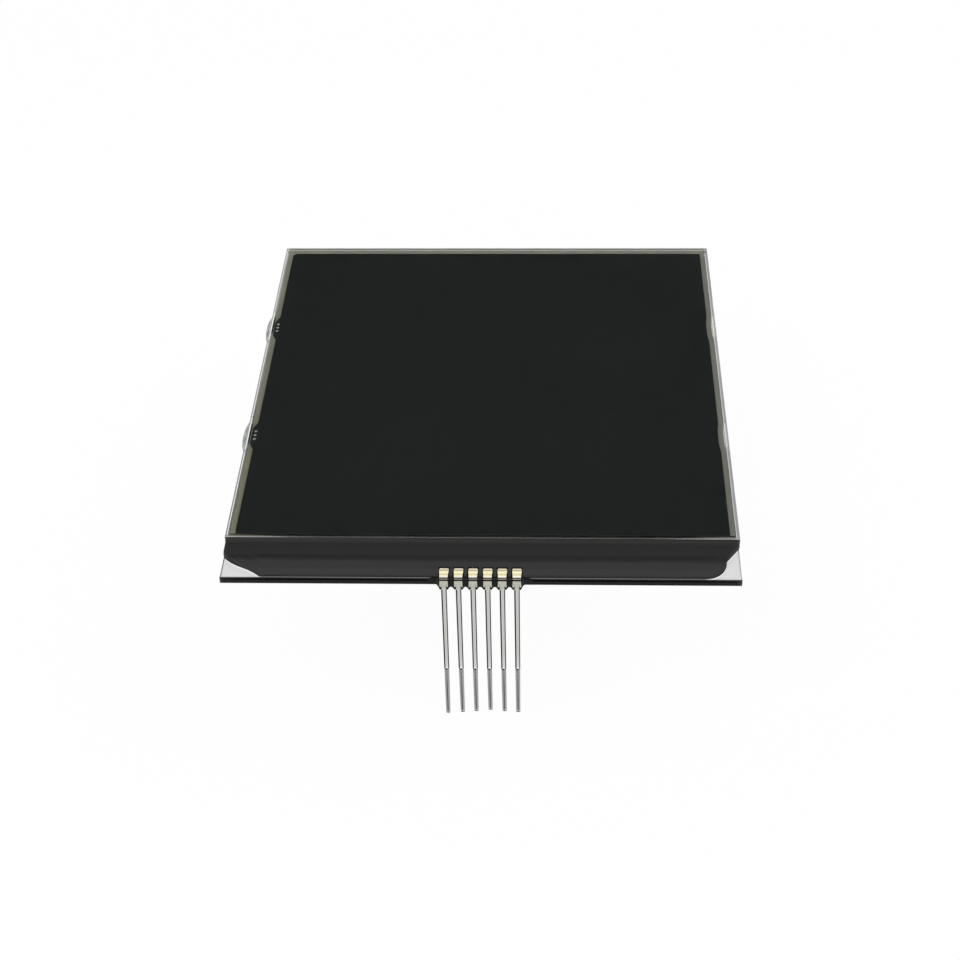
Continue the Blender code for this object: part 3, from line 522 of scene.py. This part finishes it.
def by_ports(n, at, reach, blur):
    """1 within reach of a port's middle along Y, 0 elsewhere."""
    return n.plus(*(n.between(at.y, port - reach, port + reach, blur) for port in PORTS_Y))


def port_mouth_shade(n, at, depths):
    """1 where painted shade darkens a port's open mouth."""
    across = n.between(at.from_side, *depths, FINE_BLUR)
    return n.times(across, n.below(at.x, 0.0), by_ports(n, at, MOUTH_REACH, MOUTH_BLUR))


def port_highlight(n, at):
    """How much shows of a painted highlight: the bright line that crosses the rim above a port's
    plug.
    """
    across = n.between(at.from_side, *PLUG_LINE, LINE_BLUR)
    along = by_ports(n, at, PLUG_REACH, PORT_BLUR)
    return n.times(across, along, n.below(at.x, 0.0), at.top, 0.9)


def ledge_tint(n, at):
    """What the ledge's upper face lets through: less, but for a painted highlight, a bright rim in
    front of the resin.
    """
    rim = n.minus(resin_mask(n, at.x, n.plus(at.y, RIM_HIGHLIGHT)), resin_mask(n, at.x, at.y))
    on_ledge = n.below(at.y, FRONT_LOW.y)
    return n.inverse(n.times(on_ledge, at.upper, LEDGE_LOSS, n.inverse(rim)))


def resin_mask(n, x, y):
    """1 on the ledge where the black resin lies."""
    from_left = n.plus(x, REAR_HIGH.x)
    from_right = n.minus(REAR_HIGH.x, x)
    share = n.math("DIVIDE", from_left, LEFT_CUT_WIDTH, clamp=True)
    fall = n.inverse(n.math("POWER", share, LEFT_CUT_CURVE))
    lobe = n.math("SINE", n.times(share, share, math.pi))
    left_cut = n.multiply_add(lobe, LEFT_CUT_LOBE, n.times(fall, LEFT_CUT_DEPTH))
    slope = n.ramp(from_right, 0.0, STEP_AT, RIGHT_CUT_DEPTH, STEP_DEPTH, smooth=False)
    slope = n.times(slope, n.below(from_right, STEP_AT))
    inner = n.ramp(from_right, STEP_AT, RIGHT_CUT_WIDTH, 1.0, 0.0, smooth=False)
    rise = n.math("SQRT", n.inverse(n.times(inner, inner)))
    quarter_round = n.times(n.inverse(rise), STEP_DEPTH)
    front = n.plus(n.most(left_cut, slope, quarter_round), REAR_LOW.y + RESIN_INSET)
    return n.times(n.above(y, front), n.below(y, FRONT_LOW.y + RESIN_LAP))


def ledge_rim(n, at):
    """How far the resin darkens the bare rim in front of it: wholly by the clips."""
    rim = n.below(at.y, REAR_LOW.y + DARK_RIM)
    straight = (REAR_LOW.x + DARK_RIM_LEFT, REAR_HIGH.x - DARK_RIM_RIGHT)
    along = n.between(at.x, *straight, DARK_RIM_BLUR)
    clips = n.between(at.x, CLIPS_LEFT - PAST_CLIPS, CLIPS_RIGHT + PAST_CLIPS, PAST_CLIPS_BLUR)
    return n.times(rim, n.most(n.times(along, 0.70), clips))


def ledge_front(n, at):
    """How much of the ledge's front edge gets a painted reflection of the black resin inside the
    sheet: less at its ends.
    """
    front = n.times(n.below(at.ny, -0.3), n.below(at.y, REAR_LOW.y + LEDGE_FRONT_DEPTH))
    return n.times(front, n.ramp(n.absolute(at.x), *LEDGE_FRONT_FADES, 0.92, 0.75))


def ledge_shade(n, at):
    """Painted reflection: nearly black at the top of the ledge's front edge, dark grey below."""
    tone = n.colour(at.frost, grey(0.016), rgb(0.030, 0.030, 0.029))
    return n.matt(n.colour(n.ramp(at.z, *LEDGE_DARK_TOP), tone, grey(0.004)))


def ground_edges(n, at, surface, catch, tone):
    """The seamed edges over a sheet: finely ground and pale, a tone that is partly a painted
    highlight.
    """
    slant = n.times(n.ramp(at.upright, 0.3, 0.4), n.ramp(at.upright, 0.9, 0.98, 1.0, 0.0))
    share = n.times(n.ramp(at.frost, 0.3, 0.7, 0.35, 0.55), catch)
    # The lower far edge is painted dark grey, so that the floor doesn't shine through it
    far = n.times(n.ramp(at.from_far, *FAR_EDGE, 1.0, 0.0), at.lower)
    share = n.most(share, n.times(far, 0.92))
    ground = n.over(far, n.matt(tone), n.matt(rgb(0.17, 0.17, 0.165)))
    return n.over(n.times(slant, share), surface, ground)


def lit_through(n, surface):
    """Lets the light on what lies below pass straight through the sheet."""
    shadow = n.add("ShaderNodeLightPath").outputs["Is Shadow Ray"]
    return n.over(shadow, surface, n.see_through(rgb(0.93, 0.95, 0.94)))


def polariser_material():
    """Dark neutral film, coated so that it reflects only at a grazing angle."""
    material, n = new_material("polariser_film")
    where, (_, y, z) = n.place()
    _, ny, nz = n.normal()
    cloud = n.noise(where, 30.0, 2.0)
    face = n.colour(cloud, rgb(0.800, 0.812, 0.768), rgb(0.804, 0.816, 0.774))
    ends = n.colour(n.ramp(y, *FILM_SIDES_TURN), rgb(0.30, 0.30, 0.29), grey(0.80))
    edge = n.ramp(n.absolute(nz), 0.5, 0.7, 1.0, 0.0)
    clear = n.see_through(n.colour(edge, face, ends))
    gloss = n.add("ShaderNodeBsdfGlossy", {"Color": rgb(0.95, 0.98, 1.0), "Roughness": 0.06})
    # Only the outer faces reflect: the upper film's top and the lower film's underside
    up = n.times(n.above(nz, 0.5), n.above(z, FRONT_LOW.z))
    down = n.times(n.below(nz, -0.5), n.below(z, FRONT_LOW.z))
    facing = n.add("ShaderNodeLayerWeight", {"Blend": 0.5}).outputs["Facing"]
    grazing = n.ramp(facing, 0.60, 1.0, 0.0, 0.5)
    film = n.over(n.times(n.plus(up, down), grazing), clear, gloss)
    # The cut edge over the ledge shows the film's layers as a grey line, with painted shade at its
    # foot
    cut = n.times(n.below(ny, -0.5), n.below(y, 0.0))
    layers = n.colour(cloud, rgb(0.048, 0.050, 0.048), rgb(0.056, 0.058, 0.056))
    layers = n.colour(n.ramp(z, *FILM_FOOT_SHADE), rgb(0.004, 0.005, 0.004), layers)
    n.finish(n.over(cut, film, n.matt(layers)))
    return material


def crystal_material():
    """The cell's near-black layer, with hardly any variation, its tone raised by a painted sheen for
    the film's faint gloss.
    """
    material, n = new_material("dark_crystal")
    where, _ = n.place()
    cloud = n.noise(where, 45.0, 4.0)
    n.finish(n.add("ShaderNodeBsdfPrincipled", {
        "Base Color": n.colour(cloud, *CRYSTAL_AND_SHEEN), "Roughness": 0.5, "Specular IOR Level": 0.0,
    }))
    return material


def seal_material():
    """Olive-grey sealant, its tones differing by side as painted light and shade, and in shade along
    the ledge where the black resin keeps the light out.
    """
    material, n = new_material("cell_seal")
    where, (x, y, _) = n.place()
    cloud = n.noise(where, 160.0, 4.0)
    speck = n.noise(where, 7000.0, 2.0)
    left, near_left, right, far = (
        n.colour(cloud, *tones) for tones in (SEAL_LEFT, SEAL_NEAR_LEFT, SEAL_RIGHT, SEAL_FAR)
    )
    left = n.colour(n.ramp(y, *SEAL_LEFT_TURNS), near_left, left)
    base = n.colour(n.ramp(x, *SEAL_TURNS), left, right)
    base = n.colour(n.ramp(y, *SEAL_FAR_TURNS), base, far)
    base = n.colour(n.ramp(speck, 0.55, 0.75, 0.0, 0.35), base, rgb(0.34, 0.335, 0.33))
    base = n.colour(cell_corners(n, x, y), base, n.colour(0.5, *CRYSTAL_AND_SHEEN))
    shade = n.ramp(y, *SEAL_SHADE, 1.0, 0.0)
    fade = n.ramp(n.absolute(x), *SEAL_SHADE_FADES, 1.0, 0.0)
    base = n.colour(n.times(shade, fade), base, rgb(0.02, 0.02, 0.018))
    n.finish(n.add("ShaderNodeBsdfPrincipled", {
        "Base Color": base, "Roughness": 0.6, "Specular IOR Level": 0.1,
        "Normal": n.bump(speck, 0.3, 0.00001),
    }))
    return material


def cell_corners(n, x, y):
    """1 where the dark layer's square corners show through the seal: at all but the far left one."""
    within = n.least(
        n.minus(CELL_HALF_WIDTH, n.absolute(x)), n.minus(y, CELL_NEAR), n.minus(CELL_FAR, y)
    )
    far_left = n.times(n.below(x, 0.0), n.above(y, 0.0))
    return n.times(n.above(within, 0.0), n.above(n.absolute(y), CORNERS_FROM), n.inverse(far_left))


def pillar_material():
    """The same sealant in the ports, lit from behind and so paler."""
    material, n = new_material("seal_pillar")
    where, _ = n.place()
    speck = n.noise(where, 7000.0, 2.0)
    n.finish(n.add("ShaderNodeBsdfPrincipled", {
        "Base Color": n.colour(speck, rgb(0.46, 0.46, 0.45), rgb(0.62, 0.62, 0.61)),
        "Roughness": 0.6, "Specular IOR Level": 0.1, "Normal": n.bump(speck, 0.3, 0.00001),
    }))
    return material


def plug_material():
    """Cloudy clear resin with darker streaks along the glass."""
    material, n = new_material("clear_resin")
    where, _ = n.place()
    streaks = n.noise(n.stretch(where, (1.0, 0.22, 1.0)), 2600.0, 3.0)
    solid = n.add("ShaderNodeBsdfPrincipled", {
        "Base Color": n.colour(n.ramp(streaks, 0.35, 0.65), grey(0.10), rgb(0.50, 0.51, 0.50)),
        "Roughness": 0.22, "Normal": n.bump(streaks, 0.5, 0.00004),
    })
    clear = n.see_through(rgb(0.72, 0.73, 0.72))
    n.finish(n.over(n.ramp(streaks, 0.3, 0.7, 0.55, 0.85), clear, solid))
    return material


def resin_material(name, on_ledge):
    """Poured black resin: softly glossy, with shallow flow waves and fine dust."""
    material, n = new_material(name)
    where, (_, y, z) = n.place()
    waves = n.noise(n.stretch(where, (0.35, 1.0, 1.0)), 420.0, 2.0)
    grain = n.noise(where, 12000.0, 2.0)
    dust = n.ramp(n.noise(where, 5200.0, 2.0), 0.68, 0.78, 0.0, 0.5)
    base = n.colour(waves, rgb(0.0062, 0.0064, 0.0060), rgb(0.0094, 0.0096, 0.0090))
    # Painted sheen on the ledge resin
    if on_ledge:
        base = resin_painted_sheen(n, base, waves, y, z)
    base = n.colour(dust, base, rgb(0.05, 0.05, 0.048))
    n.finish(n.add("ShaderNodeBsdfPrincipled", {
        "Base Color": base,
        "Roughness": n.ramp(waves, 0.3, 0.7, 0.36, 0.46),
        "Specular IOR Level": 0.12,
        "Normal": n.bump(n.multiply_add(grain, 0.03, waves), 0.25, 0.00012),
    }))
    return material


def resin_painted_sheen(n, base, waves, y, z):
    """Painted sheen on the ledge resin: paler before the die, at the back and along its steep edge.
    """
    waving_y = n.multiply_add(n.minus(waves, 0.5), APRON_WAVE, y)
    apron = n.ramp(waving_y, *APRON_END, 1.0, 0.0)
    base = n.colour(n.times(apron, 0.9), base, grey(0.027))
    fillet = n.ramp(y, *FILLET)
    base = n.colour(n.times(fillet, 0.8), base, rgb(0.027, 0.028, 0.026))
    _, _, nz = n.normal()
    steep = n.times(n.ramp(nz, 0.55, 0.95, 1.0, 0.0), n.above(z, REAR_HIGH.z))
    return n.colour(steep, base, rgb(0.020, 0.020, 0.019))


def tin_material(number):
    """Tin-plated strip: a golden-toned finger with painted highlights and shade, a plate, a lead with
    painted shade along its sides and a dull tail.
    """
    pin = f"clip_pin_{number}"
    low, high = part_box(pin)
    start, lean = lead_line(pin, low, high)
    material, n = new_material(f"tin_plate_{number}")
    where, (x, y, z) = n.place()
    down = n.math("DIVIDE", n.minus(REAR_LOW.z, z), REAR_LOW.z - low.z, clamp=True)
    off = n.minus(x, n.multiply_add(n.times(down, down), lean, start))
    aside = n.absolute(off)
    streaks = n.noise(n.stretch(where, (1.0, 1.0, 0.06)), 9000.0, 3.0)
    mottle = n.noise(where, 2400.0, 3.0)
    tail = n.ramp(z, TAIL_TOP - TAIL_BLUR, TAIL_TOP + TAIL_BLUR, 1.0, 0.0)
    base = strip_colour(n, z, streaks)
    base = n.colour(n.ramp(z, *FINGER_FROM), base, finger_gold_and_light(n, y, mottle))
    base = n.colour(tail, base, tail_colour(n, aside, mottle))
    # A pressed mark where the tail begins, painted dark as the shade in its dimple, under a painted
    # glint
    from_mark = n.minus(z, TAIL_TOP)
    glint = n.times(n.between(from_mark, *GLINT, GLINT_BLUR), n.ramp(aside, *GLINT_SIDES, 1.0, 0.0))
    base = n.colour(glint, base, grey(0.95))
    reach = n.math("SQRT", n.multiply_add(off, off, n.times(from_mark, from_mark)))
    mark = n.ramp(reach, *MARK_EDGE, 1.0, 0.0)
    # The cut end with its burr
    from_end = n.minus(z, low.z)
    base = n.colour(n.between(from_end, *PALE_BAND, PALE_BAND_BLUR), base, grey(0.60))
    burr = n.ramp(from_end, *BURR_EDGE, 1.0, 0.0)
    # The shear-cut sides, dull and painted dark as shade, and the underside of the bend, in painted
    # shade, hardly reflect
    on_lead = n.ramp(z, *LEADS_FROM, 1.0, 0.0)
    left, right = lead_side_shades(n, z, off, n.times(on_lead, n.inverse(n.times(tail, 0.75))))
    nx, _, _ = n.normal()
    sheared_and_shaded = n.times(n.ramp(n.absolute(nx), 0.4, 0.8, 0.0, 0.9), n.inverse(on_lead))
    bend = n.times(n.between(z, *BEND_SHADE, LINE_BLUR), n.below(y, REAR_LOW.y - BEND_OUT))
    black = n.most(mark, burr, sheared_and_shaded, bend)
    left_shade, right_shade = LEAD_SIDE_SHADES[number - 1]
    base = n.colour(left, base, grey(left_shade))
    base = n.colour(right, base, grey(right_shade))
    base = n.colour(black, base, rgb(0.010, 0.009, 0.007))
    dull = n.most(left, right, black)
    rough = n.multiply_add(tail, 0.18, n.ramp(streaks, 0.3, 0.7, 0.20, 0.30))
    n.finish(n.add("ShaderNodeBsdfPrincipled", {
        "Base Color": base, "Metallic": n.inverse(dull),
        "Roughness": n.most(rough, n.times(dull, 0.7)), "Specular IOR Level": 0.1,
        "Normal": n.bump(n.multiply_add(mottle, 0.4, streaks), 0.35, 0.00001),
    }))
    return material


def lead_line(pin, low, high):
    """Where a lead starts along X, and how far its cut end leans from there."""
    start = (low.x + high.x) / 2
    end = [v.co.x for v in NODES[pin].data.vertices if v.co.z < low.z + CUT_END]
    return start, sum(end) / len(end) - start


def strip_colour(n, z, streaks):
    """Rolled tin: the plate, and the lead, which brightens towards its tail."""
    lead = n.colour(streaks, rgb(0.50, 0.50, 0.48), rgb(0.64, 0.64, 0.62))
    near_tail = n.ramp(z, TAIL_TOP, TAIL_TOP + BRIGHTENS, 0.5, 0.0)
    lead = n.colour(near_tail, lead, rgb(0.78, 0.78, 0.77))
    plate = n.colour(streaks, rgb(0.46, 0.46, 0.40), rgb(0.55, 0.55, 0.48))
    return n.colour(n.ramp(z, *PLATE_TO_LEAD), lead, plate)


def finger_gold_and_light(n, y, mottle):
    """The finger's golden tones along its sprung back, the valley where it touches and its turned-up
    tip, with painted highlights and painted shade.
    """
    gold_and_light = n.gradient(y, FINGER_GOLD_AND_LIGHT)
    return n.colour(n.ramp(mottle, 0.35, 0.65, 0.0, 0.12), gold_and_light, rgb(1.0, 0.80, 0.45))


def tail_colour(n, aside, mottle):
    """Solder tail: dull, with a dark seam and lighter edges."""
    dull = n.colour(mottle, grey(0.27), rgb(0.48, 0.48, 0.47))
    seam = n.times(n.ramp(aside, *SEAM, 0.66, 0.0), n.ramp(mottle, 0.3, 0.6))
    dull = n.colour(seam, dull, grey(0.06))
    return n.colour(n.ramp(aside, *TAIL_EDGES, 0.0, 0.6), dull, grey(0.56))


def lead_side_shades(n, z, off, share):
    """How much shows of the painted shade along the lead's left side, and along its right side."""
    half = n.ramp(z, TAIL_TOP, REAR_LOW.z, *LEAD_HALF_WIDTHS, smooth=False)
    on_left = n.below(off, 0.0)
    inset = n.minus(half, n.absolute(off), n.times(on_left, LEFT_SIDE_MORE))
    edge = n.times(n.ramp(inset, *DARK_SIDE_SHADE, 1.0, 0.0), share)
    left = n.times(edge, on_left)
    return left, n.minus(edge, left)


def hidden_material(name, dark, light, roughness):
    """For what lies under the resin: a plain ground with a fine mottle."""
    material, n = new_material(name)
    where, _ = n.place()
    mottle = n.noise(where, 900.0, 3.0)
    n.finish(n.add("ShaderNodeBsdfPrincipled", {
        "Base Color": n.colour(mottle, dark, light),
        "Roughness": n.ramp(mottle, 0.3, 0.7, roughness, roughness + 0.1),
    }))
    return material


def dress_nodes():
    """Gives each node of the part its finish."""
    film = polariser_material()
    seal = seal_material()
    pillar = pillar_material()
    plug = plug_material()
    finishes = {
        "rear_glass": rear_glass_material(),
        "front_glass": front_glass_material(),
        "front_polariser": film,
        "rear_polariser": film,
        "liquid_crystal": crystal_material(),
        "seal_frame": seal,
        "seal_bar": seal,
        "port_plug_1": plug,
        "port_plug_2": plug,
        "ledge_resin": resin_material("black_resin", True),
        "pin_bead": resin_material("bead_resin", False),
        "driver_die": hidden_material("silicon", rgb(0.07, 0.07, 0.08), rgb(0.12, 0.12, 0.14), 0.2),
        "bond_film": hidden_material(
            "bond_adhesive", rgb(0.34, 0.30, 0.21), rgb(0.46, 0.42, 0.31), 0.5
        ),
    }
    for i in range(1, 7):
        finishes[f"seal_pillar_{i}"] = pillar
        finishes[f"clip_pin_{i}"] = tin_material(i)
    for name, material in finishes.items():
        mesh = NODES[name].data
        mesh.materials.clear()
        mesh.materials.append(material)


def seen_directly(n):
    """1 for what the camera, a reflection or clear glass shows, 0 for light on the object."""
    path = n.add("ShaderNodeLightPath").outputs
    return n.most(path["Is Camera Ray"], path["Is Glossy Ray"], path["Is Transmission Ray"])


def make_floor():
    """A plain pale floor below the leads, white where it is seen directly."""
    half = FLOOR_HALF
    z = PINS_LOW - FLOOR_GAP
    mesh = bpy.data.meshes.new("floor")
    corners = [(-half, -half, z), (half, -half, z), (half, half, z), (-half, half, z)]
    mesh.from_pydata(corners, [], [(0, 1, 2, 3)])
    floor = bpy.data.objects.new("floor", mesh)
    bpy.context.scene.collection.objects.link(floor)
    material, n = new_material("pale_floor")
    white = n.add("ShaderNodeEmission", {"Color": grey(1.0), "Strength": 1.0})
    n.finish(n.over(n.times(seen_directly(n), 0.97), n.matt(grey(0.86)), white))
    mesh.materials.append(material)


def make_world():
    """A white surround that lights the object more weakly than it shows."""
    world = bpy.data.worlds.new("studio")
    bpy.context.scene.world = world
    world.use_nodes = True
    n = Nodes(world.node_tree)
    light, shown, dark = (
        n.add("ShaderNodeBackground", {"Color": grey(1.0), "Strength": strength})
        for strength in (WORLD_LIGHT, 1.0, 0.03)
    )
    # Reflections show the unlit room behind the camera as a dark patch
    towards = n.add("ShaderNodeTexCoord").outputs["Generated"]
    facing = n.add("ShaderNodeVectorMath", {0: towards, 1: DARK_PATCH}, operation="DOT_PRODUCT")
    patch = n.ramp(facing.outputs["Value"], 0.74, 0.86)
    mirrored = n.add("ShaderNodeLightPath").outputs["Is Glossy Ray"]
    shown = n.over(n.times(patch, mirrored), shown, dark)
    n.add("ShaderNodeOutputWorld", {"Surface": n.over(seen_directly(n), light, shown)})


def add_lamp(name, at, side, power):
    """A square lamp that shines at the origin."""
    data = bpy.data.lights.new(name, "AREA")
    data.shape = "RECTANGLE"
    data.size = data.size_y = side
    data.energy = power
    lamp = bpy.data.objects.new(name, data)
    bpy.context.scene.collection.objects.link(lamp)
    lamp.location = at
    lamp.rotation_euler = (-at).to_track_quat("-Z", "Y").to_euler()


def main():
    make_camera()
    dress_nodes()
    make_floor()
    make_world()
    for name, at, side, power in LAMPS:
        add_lamp(name, at, side, power)
    bpy.context.scene.view_settings.view_transform = "Standard"


main()
